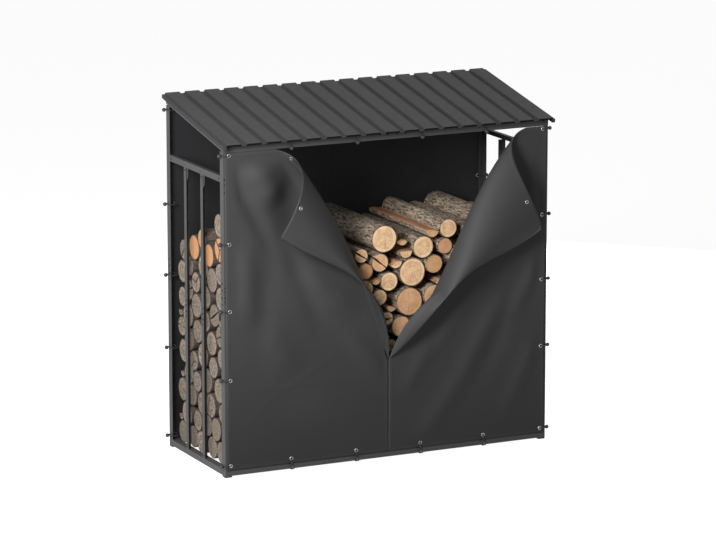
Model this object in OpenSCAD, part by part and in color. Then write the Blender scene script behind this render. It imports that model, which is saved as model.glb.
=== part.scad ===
// Log store: a black steel angle frame with a ribbed mono-pitch roof, open slatted
// sides, a laced back cover and a two-leaf front cover that is peeled open over the logs.

/* [Frame] */
// Width over the posts
store_w = 1780; // [1500:10:2100]
// Depth over the posts
store_d = 700; // [620:10:900]
// Height of the rubber feet
foot_h = 8; // [6:1:20]
// Side of a square foot
foot_w = 36; // [28:1:45]
// Thickness of the folded steel
steel_t = 2; // [1.5:0.1:3]
// Height of the base rails
base_rail_h = 30; // [26:1:40]
// Width of the ledge on top of the base rails
ledge_w = 38; // [34:1:46]
// Post flange that faces front or back
post_face_w = 26; // [22:1:30]
// Post flange that faces the side
post_side_w = 40; // [34:1:46]
// Height at which the two lengths of a post meet
post_joint_z = 920; // [700:10:1100]
// Gap between the two lengths of a post
post_joint_gap = 0.5; // [0.3:0.1:0.8]
// Length of the angle that joins them inside
splice_l = 140; // [100:5:200]

/* [Sides] */
// Underside of the side rail above the floor
side_rail_z = 1473; // [1300:1:1560]
// Height of the side rail
side_rail_h = 31; // [26:1:40]
// Depth of the side rail into the store
side_rail_w = 22; // [16:1:24]
// Centre of the front bar behind the front of the store
front_bar_y = 266; // [220:1:300]
// Centre of the rear bar behind the front of the store
rear_bar_y = 470; // [420:1:520]
// Width of a side bar along the depth
bar_w = 28; // [24:1:40]
// Depth of a side bar into the store
bar_d = 25; // [16:1:26]

/* [Roof] */
// Slope of the roof in degrees
roof_pitch = 10.7; // [8:0.1:13]
// Underside of a rafter at the front
rafter_z = 1626; // [1610:1:1680]
// Height of a rafter
rafter_h = 39; // [30:1:46]
// Width of a rafter flange
rafter_w = 24; // [18:1:30]
// Underside of the front beam
front_beam_z = 1621; // [1600:1:1640]
// Height of the back beam
beam_h = 42; // [36:1:50]
// Gap between the roof valleys and the beams they rest on
seat_gap = 0.3; // [0.2:0.1:0.6]
// Depth of the beam flanges
beam_w = 24; // [18:1:30]
// Beam flange below the top of its beam
beam_flange_drop = 8; // [6:0.5:10]
// Roof beyond the front of the posts
roof_front = 45; // [20:1:80]
// Roof beyond the back of the posts
roof_back = 12; // [8:1:40]
// Roof beyond the posts at each side
roof_side = 15; // [8:1:40]
// Number of ribs on the roof
rib_count = 17; // [11:1:23]
// Height of a rib
rib_h = 9; // [6:0.5:14]
// Width of the flat between two ribs
valley_w = 24; // [18:1:30]
// Run of a rib's slanted side
rib_side = 4; // [2:0.5:8]
// Thickness of the roof sheet
sheet_t = 1.2; // [0.8:0.1:2]
// Gap between two roof sheets
sheet_gap = 0.5; // [0.3:0.1:0.8]
// Height of the edge trim below the roof sheet
trim_h = 16; // [12:1:24]

/* [Covers] */
// Thickness of the cover fabric
cover_t = 2; // [1:0.2:3]
// Gap between the covers and the steel
cover_gap = 0.5; // [0.3:0.1:1]
// Cover edge inside the outer side of the posts
cover_side_in = 8; // [4:1:14]
// Cover hem above the floor
cover_foot_z = 34; // [20:1:40]
// Gap between the hem and the beam above it
cover_top_gap = 1; // [0.5:0.1:4]
// Eyelet centre inside the outer side of the posts
eyelet_in = 30; // [28:0.5:32]
// Heights of the side eyelets of the front cover
front_eyelet_z = [58, 489, 834, 1168, 1606];
// Heights of the side eyelets of the back cover
back_eyelet_z = [58, 515, 888, 1250, 1728];
// Hole of an eyelet
eyelet_hole_d = 12; // [10:0.5:14]
// Height of the bottom eyelets
bottom_eyelet_z = 60; // [56:1:66]
// Top eyelets of the back cover below its top edge
top_eyelet_drop = 14; // [12:1:20]
// Bays between the top and bottom eyelets
lace_bays = 5; // [4:1:6]
// Top of the closed part of the front slit
slit_z = 508; // [300:1:700]
// Width of the closed slit
slit_gap = 0.8; // [0.4:0.1:2]

/* [Peeled leaves] */
// How far the left leaf stands out, as a share of its control net
left_curl = 1; // [0.8:0.05:1.1]
// How far the right leaf stands out, as a share of its control net
right_curl = 1; // [0.8:0.05:1.1]

/* [Lacing] */
// Thickness of the elastic cord
cord_d = 5; // [4:0.5:6]
// Gap between the cord and the steel
cord_gap = 0.7; // [0.4:0.1:1.5]
// Diameter of the toggle ball
ball_d = 20; // [16:1:28]
// Gap between the ball and its cord
ball_gap = 0.3; // [0.2:0.1:0.5]
// Height of the loop round the lower edge of a top beam
beam_loop_h = 22; // [16:1:26]

/* [Logs] */
// Clear depth between the covers and the logs that lie front to back
log_end_gap = 16; // [12:1:60]
// How far the ends of neighbouring logs are staggered
log_stagger = 10; // [0:1:14]
// Length of the logs stacked at the left end
end_log_l = 420; // [300:5:450]
// Clear width between the two stacks
stack_gap = 7; // [4:1:30]
// Gap between neighbouring logs
log_gap = 0.4; // [0.3:0.1:0.8]
// Gap between the split pieces of one log
split_gap = 0.8; // [0.4:0.1:0.9]
// Height of the main stack, to the centres of its top logs
stack_top_z = 1140; // [700:5:1180]
// Height of the main stack beside the end stack, to the centres of its top logs
stack_low_z = 1060; // [700:5:1180]
// Width of that lower part of the main stack
stack_low_w = 330; // [0:5:400]
// Heights of the end stack at its front, middle and back, to the centres of its top logs
end_top_z = [1240, 1135, 1045];
// Widths of its front and middle parts
end_part_w = [150, 240];
// Diameter of the logs in the bottom row of the end stack
end_row_d = 118; // [90:1:120]
// Number of logs in the bottom row of the end stack
end_row_n = 5; // [4:1:5]
// Start of the end stack behind the front of the store
end_stack_y = 58; // [50:1:80]

/* [Hidden] */

frame_color = "#3a3b3d";
roof_color = "#4a4b4d";
cover_color = "#2f3031";
cord_color = "#161616";
bark_color = "#6b5a4a";
weathered_color = "#9a8873";

// Bend of the lacing, its centre line from the steel, and its hole in a top beam.
cord_bend = 4.5;
cord_off = cord_d / 2 + cord_gap;
beam_hole_d = cord_d + 2 * cord_gap;
ball_off = cord_d / 2 + ball_gap + ball_d / 2;

x_side = store_w / 2;
rail_top_z = foot_h + base_rail_h;
tan_p = tan(roof_pitch);
cos_p = cos(roof_pitch);
rafter_rise = rafter_h / cos_p;

// Heights of the covers, and the closed edge of the front slit.
front_cover_top_z = front_beam_z - cover_top_gap;
peel_h = front_cover_top_z - slit_z;
leaf_w = x_side - slit_gap / 2;

// Each peeled leaf is a curved patch on rows of four control points, from the top of the
// slit down. A point is [share of the cover's width from the post, distance in front of the
// cover in mm, share of the slit's height below the top]. Both leaves end at the slit's foot.
left_leaf_net = [
    [[0.31, 0, 0], [0.53, 0, 0.05], [0.38, 270, 0.14], [0.29, 95, 0.38]],
    [[0.76, 0, 0.33], [0.77, 0, 0.42], [0.51, 170, 0.46], [0.56, 95, 0.55]],
    [[0.85, 0, 0.67], [0.87, 0, 0.65], [0.96, 245, 0.74], [0.99, 85, 0.56]]
];
right_leaf_net = [
    [[0.14, 0, 0], [0.38, 0, 0.05], [0.22, 250, 0.24], [0.08, 70, 0.46]],
    [[0.5, 0, 0.33], [0.74, 0, 0.31], [0.51, 270, 0.46], [0.38, 75, 0.62]],
    [[0.58, 0, 0.67], [0.66, 0, 0.68], [0.63, 265, 0.92], [0.87, 85, 0.61]]
];

function leaf_rows(net, curl) = concat(
    [for (row = net) [for (p = row)
        [p[0] * leaf_w, -p[1] * curl, front_cover_top_z - p[2] * peel_h]]],
    [[for (i = [0 : 3]) [leaf_w, 0, slit_z]]]);
left_rows = leaf_rows(left_leaf_net, left_curl);
right_rows = leaf_rows(right_leaf_net, right_curl);

// Steps down and across a leaf. The steps down also shape the edge of the flat cover.
leaf_down = 20;
leaf_across = 26;
leaf_last = 0.985;
leaf_v = [for (i = [0 : leaf_down]) i < leaf_down ? i / leaf_down : leaf_last];

function cubic(p, t) = p[0] * pow(1 - t, 3) + p[1] * 3 * t * pow(1 - t, 2)
    + p[2] * 3 * t * t * (1 - t) + p[3] * pow(t, 3);
function cubic_slope(p, t) = 3 * ((p[1] - p[0]) * pow(1 - t, 2)
    + (p[2] - p[1]) * 2 * t * (1 - t) + (p[3] - p[2]) * t * t);
function leaf_column(rows, i) = [for (row = rows) row[i]];

// A point of the leaf, s across and v down, moved off its middle surface by off.
function leaf_point(rows, s, v, off) =
    let (
        line = [for (i = [0 : 3]) cubic(leaf_column(rows, i), v)],
        fall = [for (i = [0 : 3]) cubic_slope(leaf_column(rows, i), v)],
        n = cross(cubic_slope(line, s), cubic(fall, s))
    )
    cubic(line, s) + n * (off / norm(n));

function leaf_side(rows, off) = [
    for (v = leaf_v, i = [0 : leaf_across]) leaf_point(rows, i / leaf_across, v, off)
];

// How far a leaf stands out in front of the middle of the flat cover.
function leaf_reach(rows) = max([for (p = leaf_side(rows, -cover_t / 2)) -p[1]]);

// The origin is at the middle of the footprint of everything, on the floor.
front_reach = max(roof_front,
    cover_gap + cover_t / 2 + max(leaf_reach(left_rows), leaf_reach(right_rows)));
back_reach = max(roof_back, cover_gap + cover_t + cord_off + ball_off + ball_d / 2);
y_front = -store_d / 2 + (front_reach - back_reach) / 2;
y_back = y_front + store_d;

function roof_z(y) = rafter_z + rafter_rise + (y - y_front) * tan_p;

// Outer faces of the fabric, and the places of the top and bottom lacing.
front_cover_y = y_front - cover_gap - cover_t;
back_cover_y = y_back + cover_gap;
front_beam_h = roof_z(y_front - steel_t) - front_beam_z - seat_gap;
back_beam_z = roof_z(y_back) - beam_h - seat_gap;
back_cover_top_z = back_beam_z - cover_top_gap;
bay_w = store_w / lace_bays;
lace_x = [for (i = [1 : lace_bays - 1]) -x_side + i * bay_w];

module angle_outline(a, b, t) {
    polygon([[0, 0], [a, 0], [a, t], [t, t], [t, b], [0, b]]);
}

// An upright angle: corner at the origin, flanges along +X and +Y.
module upright_angle(a, b, t, h) {
    linear_extrude(height = h) angle_outline(a, b, t);
}

module feet() {
    color(cord_color)
    for (sx = [-1, 1], y = [y_front + foot_w / 2, y_back - foot_w / 2])
        translate([sx * (x_side - foot_w / 2) - foot_w / 2, y - foot_w / 2, 0])
            cube([foot_w, foot_w, foot_h]);
}

// A front or back base rail: an upright face with a ledge on top that points inwards.
module long_base_rail() {
    color(frame_color)
    translate([-x_side, 0, foot_h])
        rotate([90, 0, 90])
            linear_extrude(height = store_w)
                polygon([[0, 0], [steel_t, 0], [steel_t, base_rail_h - steel_t],
                    [ledge_w, base_rail_h - steel_t], [ledge_w, base_rail_h], [0, base_rail_h]]);
}

module base_rail_front() {
    translate([0, y_front, 0]) long_base_rail();
}

module base_rail_back() {
    translate([0, y_back, 0]) mirror([0, 1, 0]) long_base_rail();
}

// A side base rail fits between the long rails, with its ledge between their ledges.
module side_base_rail() {
    color(frame_color)
    union() {
        translate([-x_side, y_front + steel_t, foot_h])
            cube([steel_t, store_d - 2 * steel_t, base_rail_h - steel_t]);
        translate([-x_side, y_front + ledge_w, rail_top_z - steel_t])
            cube([ledge_w, store_d - 2 * ledge_w, steel_t]);
    }
}

module base_rail_left() {
    side_base_rail();
}

module base_rail_right() {
    mirror([1, 0, 0]) side_base_rail();
}

// A flat bar from the front ledge to the back ledge carries the inner ends of the end stack.
floor_bar_w = 40;
floor_bar_x = -x_side + end_log_l - floor_bar_w / 2;
module floor_bar() {
    color(frame_color)
    translate([floor_bar_x - floor_bar_w / 2, y_front + ledge_w, rail_top_z - steel_t])
        linear_extrude(height = steel_t)
            square([floor_bar_w, store_d - 2 * ledge_w]);
}

// A corner post in two lengths, with its corner at the outer edges of the store.
module corner_post(top_z) {
    color(frame_color) {
        translate([0, 0, rail_top_z])
            upright_angle(post_face_w, post_side_w, steel_t,
                post_joint_z - rail_top_z - post_joint_gap / 2);
        translate([0, 0, post_joint_z + post_joint_gap / 2])
            upright_angle(post_face_w, post_side_w, steel_t,
                top_z - post_joint_z - post_joint_gap / 2);
    }
}

module at_corner(sx, sy) {
    translate([sx * x_side, sy < 0 ? y_front : y_back, 0])
        mirror([sx > 0 ? 1 : 0, 0, 0])
            mirror([0, sy > 0 ? 1 : 0, 0])
                children();
}

front_post_top_z = rafter_z;
back_post_top_z = rafter_z + (store_d - post_side_w) * tan_p;
module post_front_left() {
    at_corner(-1, -1) corner_post(front_post_top_z);
}
module post_front_right() {
    at_corner(1, -1) corner_post(front_post_top_z);
}
module post_back_left() {
    at_corner(-1, 1) corner_post(back_post_top_z);
}
module post_back_right() {
    at_corner(1, 1) corner_post(back_post_top_z);
}

// Short angles inside the posts, over the joint between their two lengths.
module post_splices() {
    color(frame_color)
    for (sx = [-1, 1], sy = [-1, 1])
        at_corner(sx, sy)
            translate([steel_t, steel_t, post_joint_z - splice_l / 2])
                upright_angle(post_face_w - 2 * steel_t, post_side_w - 3 * steel_t, steel_t, splice_l);
}

// A side rail: an angle between the front and back posts, outside face in the side plane.
module side_rail() {
    color(frame_color)
    translate([-x_side, y_back - post_side_w, side_rail_z])
        rotate([90, 0, 0])
            linear_extrude(height = store_d - 2 * post_side_w)
                polygon([[0, 0], [steel_t, 0], [steel_t, side_rail_h - steel_t],
                    [side_rail_w, side_rail_h - steel_t], [side_rail_w, side_rail_h],
                    [0, side_rail_h]]);
}

module side_rail_left() {
    side_rail();
}
module side_rail_right() {
    mirror([1, 0, 0]) side_rail();
}

// A side bar: an angle from the base ledge to the side rail, its inner flange at the rear.
module side_bar(y) {
    color(frame_color)
    translate([-x_side, y_front + y - bar_w / 2, rail_top_z])
        linear_extrude(height = side_rail_z - rail_top_z)
            polygon([[0, 0], [steel_t, 0], [steel_t, bar_w - steel_t],
                [bar_d, bar_w - steel_t], [bar_d, bar_w], [0, bar_w]]);
}

module left_bar_front() {
    side_bar(front_bar_y);
}
module left_bar_rear() {
    side_bar(rear_bar_y);
}
module right_bar_front() {
    mirror([1, 0, 0]) side_bar(front_bar_y);
}
module right_bar_rear() {
    mirror([1, 0, 0]) side_bar(rear_bar_y);
}

// A top beam: an upright face outside the posts, drilled for the lacing, with a flange that
// stiffens it between them.
module top_beam(h) {
    color(frame_color) {
        rotate([90, 0, 0])
            linear_extrude(height = steel_t)
                difference() {
                    translate([-x_side, 0]) square([store_w, h]);
                    for (x = lace_x)
                        translate([x, beam_loop_h - cord_off]) circle(d = beam_hole_d, $fn = 24);
                }
    }
}

module beam_flange() {
    color(frame_color)
    translate([-x_side + rafter_w, 0, 0]) cube([store_w - 2 * rafter_w, beam_w, steel_t]);
}

module front_beam() {
    union() {
        translate([0, y_front, front_beam_z]) top_beam(front_beam_h);
        translate([0, y_front - steel_t, front_beam_z + front_beam_h - beam_flange_drop - steel_t])
            beam_flange();
    }
}

module back_beam() {
    union() {
        translate([0, y_back + steel_t, back_beam_z]) top_beam(beam_h);
        translate([0, y_back + steel_t - beam_w, back_beam_z + beam_h - beam_flange_drop - steel_t])
            beam_flange();
    }
}

// A rafter: an angle that slopes from the front to the back post under the roof edge.
module rafter() {
    color(frame_color)
    translate([-x_side, y_front, 0])
        rotate([90, 0, 90]) {
            linear_extrude(height = steel_t)
                polygon([[0, rafter_z], [store_d, rafter_z + store_d * tan_p],
                    [store_d, rafter_z + rafter_rise + store_d * tan_p],
                    [0, rafter_z + rafter_rise]]);
            linear_extrude(height = rafter_w)
                polygon([[0, rafter_z + rafter_rise - steel_t],
                    [store_d, rafter_z + rafter_rise - steel_t + store_d * tan_p],
                    [store_d, rafter_z + rafter_rise + store_d * tan_p],
                    [0, rafter_z + rafter_rise]]);
        }
}

module rafter_left() {
    rafter();
}
module rafter_right() {
    mirror([1, 0, 0]) rafter();
}

// Roof sheets: ribs run down the slope and the valleys lie on the rafters and beams.
roof_w = store_w + 2 * roof_side;
rib_pitch = roof_w / rib_count;
roof_l = (roof_front + store_d + roof_back) / cos_p;

function rib_line(x0, up) = [
    [x0 + valley_w / 2, up],
    [x0 + valley_w / 2 + rib_side, rib_h + up],
    [x0 + rib_pitch - valley_w / 2 - rib_side, rib_h + up],
    [x0 + rib_pitch - valley_w / 2, up]
];

function rib_row(first, last, up) = [
    for (i = [first : last], p = rib_line(-roof_w / 2 + i * rib_pitch, up)) p
];

module roof_sheet(first, last) {
    low = rib_row(first, last, 0);
    high = rib_row(first, last, sheet_t);
    x0 = -roof_w / 2 + first * rib_pitch + (first > 0 ? sheet_gap / 2 : 0);
    x1 = -roof_w / 2 + (last + 1) * rib_pitch - (last < rib_count - 1 ? sheet_gap / 2 : 0);
    color(roof_color)
    translate([0, y_front - roof_front, roof_z(y_front - roof_front)])
        rotate([roof_pitch, 0, 0])
            translate([0, roof_l, 0])
                rotate([90, 0, 0])
                    linear_extrude(height = roof_l)
                        polygon(concat([[x0, 0]], low, [[x1, 0], [x1, sheet_t]],
                            [for (i = [len(high) - 1 : -1 : 0]) high[i]], [[x0, sheet_t]]));
}

sheet_split = floor(rib_count / 3);
module roof_sheet_left() {
    roof_sheet(0, sheet_split - 1);
}
module roof_sheet_middle() {
    roof_sheet(sheet_split, rib_count - sheet_split - 1);
}
module roof_sheet_right() {
    roof_sheet(rib_count - sheet_split, rib_count - 1);
}

// An edge trim: a strip folded down over the side of the roof sheet.
module roof_trim() {
    color(roof_color)
    translate([-roof_w / 2 - steel_t, y_front - roof_front, roof_z(y_front - roof_front)])
        rotate([roof_pitch, 0, 0])
            translate([0, roof_l, 0])
                rotate([90, 0, 0])
                    linear_extrude(height = roof_l)
                        polygon([[0, -trim_h], [steel_t, -trim_h], [steel_t, sheet_t],
                            [valley_w / 2 + steel_t, sheet_t], [valley_w / 2 + steel_t, 2 * sheet_t],
                            [0, 2 * sheet_t]]);
}

module roof_trim_left() {
    roof_trim();
}
module roof_trim_right() {
    mirror([1, 0, 0]) roof_trim();
}

module front_cover_flat(rows) {
    color(cover_color)
    translate([0, front_cover_y + cover_t, 0])
        rotate([90, 0, 0])
            linear_extrude(height = cover_t)
                difference() {
                    polygon(concat(
                        [[cover_side_in, cover_foot_z], [leaf_w, cover_foot_z], [leaf_w, slit_z]],
                        [for (i = [leaf_down : -1 : 0])
                            let (p = cubic(leaf_column(rows, 0), leaf_v[i])) [p[0], p[2]]],
                        [[cover_side_in, front_cover_top_z]]));
                    for (z = front_eyelet_z)
                        translate([eyelet_in, z]) circle(d = eyelet_hole_d, $fn = 24);
                    for (i = [1 : floor((lace_bays - 1) / 2)])
                        translate([i * bay_w, bottom_eyelet_z]) circle(d = eyelet_hole_d, $fn = 24);
                }
}

module front_cover_left() {
    translate([-x_side, 0, 0]) front_cover_flat(left_rows);
}
module front_cover_right() {
    translate([x_side, 0, 0]) mirror([1, 0, 0]) front_cover_flat(right_rows);
}

// A peeled leaf: its curved patch given the cover's thickness.
module peeled_leaf(rows) {
    nu = leaf_across;
    nv = leaf_down;
    side = [for (off = [cover_t / 2, -cover_t / 2], p = leaf_side(rows, off))
        p + [0, front_cover_y + cover_t / 2, 0]];
    n1 = nu + 1;
    half = n1 * (nv + 1);
    faces = concat(
        [for (j = [0 : nv - 1], i = [0 : nu - 1])
            [j * n1 + i, j * n1 + i + 1, (j + 1) * n1 + i + 1, (j + 1) * n1 + i]],
        [for (j = [0 : nv - 1], i = [0 : nu - 1])
            [half + j * n1 + i, half + (j + 1) * n1 + i, half + (j + 1) * n1 + i + 1,
                half + j * n1 + i + 1]],
        [for (j = [0 : nv - 1])
            [j * n1, (j + 1) * n1, half + (j + 1) * n1, half + j * n1]],
        [for (j = [0 : nv - 1])
            [(j + 1) * n1 + nu, j * n1 + nu, half + j * n1 + nu, half + (j + 1) * n1 + nu]],
        [for (i = [0 : nu - 1]) [i + 1, i, half + i, half + i + 1]],
        [for (i = [0 : nu - 1])
            [nv * n1 + i, nv * n1 + i + 1, half + nv * n1 + i + 1, half + nv * n1 + i]]);
    tri = [for (f = faces) each [[f[0], f[1], f[2]], [f[0], f[2], f[3]]]];
    color(cover_color) polyhedron(points = side, faces = tri);
}

module front_leaf_left() {
    translate([-x_side, 0, 0])
        peeled_leaf(left_rows);
}
module front_leaf_right() {
    translate([x_side, 0, 0])
        mirror([1, 0, 0])
            peeled_leaf(right_rows);
}

module back_cover() {
    color(cover_color)
    translate([0, back_cover_y + cover_t, 0])
        rotate([90, 0, 0])
            linear_extrude(height = cover_t)
                difference() {
                    translate([-x_side + cover_side_in, cover_foot_z])
                        square([store_w - 2 * cover_side_in, back_cover_top_z - cover_foot_z]);
                    for (sx = [-1, 1], z = back_eyelet_z)
                        translate([sx * (x_side - eyelet_in), z]) circle(d = eyelet_hole_d, $fn = 24);
                    for (x = lace_x, z = [bottom_eyelet_z, back_cover_top_z - top_eyelet_drop])
                        translate([x, z]) circle(d = eyelet_hole_d, $fn = 24);
                }
}

// A lacing loop: elastic cord bent round a rectangle with round corners.
module cord_bend_piece(r, turn) {
    rotate_extrude(angle = turn, $fn = 48)
        translate([r, 0]) circle(d = cord_d, $fn = 24);
}

module cord_run(l) {
    cylinder(d = cord_d, h = l, $fn = 24);
}

module cord_loop(w, h, r) {
    union() {
        for (i = [0, 1]) {
            translate([r, i * h, 0]) rotate([0, 90, 0]) cord_run(w - 2 * r);
            translate([i * w, r, 0]) rotate([-90, 0, 0]) cord_run(h - 2 * r);
        }
        for (c = [[r, r, 180], [w - r, r, 270], [w - r, h - r, 0], [r, h - r, 90]])
            translate([c[0], c[1], 0])
                rotate([0, 0, c[2]]) cord_bend_piece(r, 90);
    }
}

// A narrow loop: two straight runs joined by half turns.
module cord_slot(w, h) {
    union() {
        for (i = [0, 1])
            translate([i * w, w / 2, 0]) rotate([-90, 0, 0]) cord_run(h - w);
        translate([w / 2, w / 2, 0]) rotate([0, 0, 180]) cord_bend_piece(w / 2, 180);
        translate([w / 2, h - w / 2, 0]) cord_bend_piece(w / 2, 180);
    }
}

module toggle_ball() {
    sphere(d = ball_d, $fn = 32);
}

// Round a post, through the eyelet: x from the outside of the post, y from the cover's face.
// The ball sits on the loop outside the post.
module post_lacing(heights) {
    reach = cover_gap + cover_t + cord_off;
    color(cord_color)
    for (z = heights)
        translate([-cord_off, -reach, z]) {
            cord_loop(eyelet_in + cord_off, reach + post_side_w + cord_off, cord_bend);
            translate([-ball_off, reach + ball_d / 2, 0]) toggle_ball();
        }
}

module lacing_front_left() {
    at_corner(-1, -1) post_lacing(front_eyelet_z);
}
module lacing_front_right() {
    at_corner(1, -1) post_lacing(front_eyelet_z);
}
module lacing_back_left() {
    at_corner(-1, 1) post_lacing(back_eyelet_z);
}
module lacing_back_right() {
    at_corner(1, 1) post_lacing(back_eyelet_z);
}

// Round a base rail, through a bottom eyelet: the ball sits in front of the rail.
module rail_lacing() {
    reach = cover_gap + cover_t + cord_off;
    low = foot_h - cord_off;
    color(cord_color)
    for (x = lace_x)
        translate([x, -reach, low])
            rotate([90, 0, 90]) {
                cord_loop(reach + ledge_w + cord_off, bottom_eyelet_z - low, cord_bend);
                translate([-ball_off, ball_d / 2 + cord_bend, 0]) toggle_ball();
            }
}

module lacing_front_bottom() {
    translate([0, y_front, 0]) rail_lacing();
}
module lacing_back_bottom() {
    translate([0, y_back, 0]) mirror([0, 1, 0]) rail_lacing();
}

// Through a hole in a top beam and round its lower edge, or on down through an eyelet: out is
// the thickness that the loop encloses, low its depth below the beam. The ball sits in front.
module beam_lacing(out, low) {
    depth = out + 2 * cord_off;
    color(cord_color)
    for (x = lace_x)
        translate([x, -out - cord_off, -low])
            rotate([90, 0, 90]) {
                cord_slot(depth, beam_loop_h - cord_off + low);
                translate([-ball_off, low, 0]) toggle_ball();
            }
}

module lacing_front_top() {
    translate([0, y_front, front_beam_z]) beam_lacing(steel_t, cord_off);
}
module lacing_back_top() {
    translate([0, y_back, back_beam_z])
        mirror([0, 1, 0])
            beam_lacing(cover_gap + cover_t, cover_top_gap + top_eyelet_drop);
}

// Stacks of logs. A log is [across, up, radius, pieces], seen along its length. Each new
// log rolls into the lowest hollow of the stack that takes it.
function tangent_spot(a, b, r) =
    let (
        ra = a[2] + r + log_gap,
        rb = b[2] + r + log_gap,
        dx = b[0] - a[0],
        dz = b[1] - a[1],
        d = sqrt(dx * dx + dz * dz),
        t = (ra * ra - rb * rb + d * d) / (2 * d),
        h2 = ra * ra - t * t
    )
    (d >= ra + rb || h2 < 0) ? undef
        : let (h = sqrt(h2)) [a[0] + (t * dx - h * dz) / d, a[1] + (t * dz + h * dx) / d];

function wall_spot(a, r, x) =
    let (ra = a[2] + r + log_gap, dx = x - a[0], h2 = ra * ra - dx * dx)
    h2 < 0 ? undef : [x, a[1] + sqrt(h2)];

function is_free(p, r, near) =
    len([for (c = near) if (norm([c[0] - p[0], c[1] - p[1]]) < c[2] + r + log_gap - 0.001) 1]) == 0;

// The top of a stack is in steps of [where the step ends, height of its top logs].
function step_z(x, steps, i = 0) =
    i >= len(steps) - 1 || x < steps[i][0] ? steps[i][1] : step_z(x, steps, i + 1);

// Every place where a log of radius r touches two of the logs near it, or one and a wall.
function hollows(near, r, x0, x1, steps) =
    let (
        n = len(near),
        pairs = [for (i = [0 : n - 1], j = [0 : n - 1])
            if (near[i][0] < near[j][0] && near[j][0] - near[i][0] < near[i][2] + near[j][2] + 2 * r)
                tangent_spot(near[i], near[j], r)],
        walls = [for (c = near) each [wall_spot(c, r, x0 + r), wall_spot(c, r, x1 - r)]]
    )
    [for (p = concat(pairs, walls))
        if (p != undef && p[0] >= x0 + r - 0.001 && p[0] <= x1 - r + 0.001
            && p[1] <= step_z(p[0], steps) && is_free(p, r, near)) p];

function lowest(spots, best = undef, i = 0) =
    i >= len(spots) ? best
        : lowest(spots, (best == undef || spots[i][1] < best[1]) ? spots[i] : best, i + 1);

// How far above and below the last log the stack is searched.
pile_window = 240;
function pile_up(logs, sizes, pieces, k, front, x0, x1, steps) =
    let (
        near = [for (c = logs) if (abs(c[1] - front) < pile_window) c],
        r = sizes[k % len(sizes)] / 2,
        p = lowest(hollows(near, r, x0, x1, steps))
    )
    p == undef ? logs
        : pile_up(concat(logs, [[p[0], p[1], r, pieces[k % len(pieces)]]]), sizes, pieces,
            k + 1, p[1], x0, x1, steps);

// Every log, from the lowest up, sinks straight down on to those below it.
function by_height(logs) =
    len(logs) < 2 ? logs
        : let (z = logs[0][1], rest = [for (i = [1 : len(logs) - 1]) logs[i]])
            concat(by_height([for (c = rest) if (c[1] < z) c]), [logs[0]],
                by_height([for (c = rest) if (c[1] >= z) c]));
function rest_z(p, below, floor_z) =
    max(concat([floor_z + p[2]], [for (c = below)
        let (ra = c[2] + p[2] + log_gap, dx = c[0] - p[0])
        if (abs(dx) < ra) c[1] + sqrt(ra * ra - dx * dx)]));
function settle(logs, floor_z, done = []) =
    len(done) >= len(logs) ? done
        : let (p = logs[len(done)])
            settle(logs, floor_z, concat(done, [[p[0], rest_z(p, done, floor_z), p[2], p[3]]]));

// Small half logs, flat side up, go into the hollows that are left, where logs or a wall
// hold them below their flat side.
half_log = 0;
half_log_flat = 0.2;
function holds(c, p, r) =
    norm([c[0] - p[0], c[1] - p[1]]) < c[2] + r + log_gap + 0.01
    && c[1] - p[1] < half_log_flat * (c[2] + r);
function held(p, r, logs, x0, x1) =
    len([for (c = logs) if (holds(c, p, r)) 1])
        + (p[0] < x0 + r + 0.01 || p[0] > x1 - r - 0.01 ? 1 : 0) > 1;
function keep_apart(spots, r, kept = [], i = 0) =
    i >= len(spots) ? kept
        : keep_apart(spots, r,
            is_free(spots[i], r, kept) ? concat(kept, [[spots[i][0], spots[i][1], r, half_log]]) : kept,
            i + 1);
function fill_in(logs, r, x0, x1, steps) =
    concat(logs, keep_apart(
        [for (p = hollows(logs, r, x0, x1, steps)) if (held(p, r, logs, x0, x1)) p], r));

// Logs that lie front to back rest on the front and back ledges.
stack_x0 = -x_side + steel_t + bar_d + end_log_l + stack_gap;
stack_x1 = x_side - eyelet_in - cord_d / 2 - 3;
log_sizes = [112, 138, 96, 124, 84, 142, 104, 118, 90, 128, 108, 134, 98];
log_pieces = [1, 3, 1, 2, 1, 4, 2, 1, 1, 3, 1];
small_log_r = [36, 27];

// Logs that show in the peeled opening: [from the middle of the store, height, diameter, pieces].
seen_logs = [
    [-11, 1119, 144, 1], [203, 1079, 118, 1], [342, 1140, 98, 1], [142, 952, 150, 1],
    [262, 984, 97, 1], [326, 1050, 84, 1], [15, 915, 100, 1], [-38, 838, 84, 1],
    [128, 792, 150, 1], [-118, 964, 84, 1], [-140, 1042, 74, 2], [80, 664, 110, 1],
    [3, 712, 70, 2], [24, 594, 66, 2]
];

// The bottom row leaves its hollows where the bottom lacing passes.
bottom_log_d = 118;
row_bounds = concat([stack_x0], [for (x = lace_x) if (x > stack_x0 + bottom_log_d / 2) x], [stack_x1]);
bottom_row = [for (b = [0 : len(row_bounds) - 2])
    let (
        w = row_bounds[b + 1] - row_bounds[b],
        n = round(w / bottom_log_d),
        d = w / n
    )
    for (i = [0 : n - 1])
        [row_bounds[b] + (i + 0.5) * d, rail_top_z + (d - log_gap) / 2, (d - log_gap) / 2, 1]];

function main_stack() =
    let (
        seen = [for (l = seen_logs) if (l[1] <= stack_top_z) [l[0], l[1], l[2] / 2, l[3]]],
        steps = [[stack_x0 + stack_low_w, stack_low_z], [stack_x1, stack_top_z]],
        piled = pile_up(concat(bottom_row, seen), log_sizes, log_pieces, 0, rail_top_z,
            stack_x0, stack_x1, steps),
        settled = settle(by_height(piled), rail_top_z),
        filled = fill_in(settled, small_log_r[0], stack_x0, stack_x1, steps)
    )
    fill_in(filled, small_log_r[1], stack_x0, stack_x1, steps);

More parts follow.
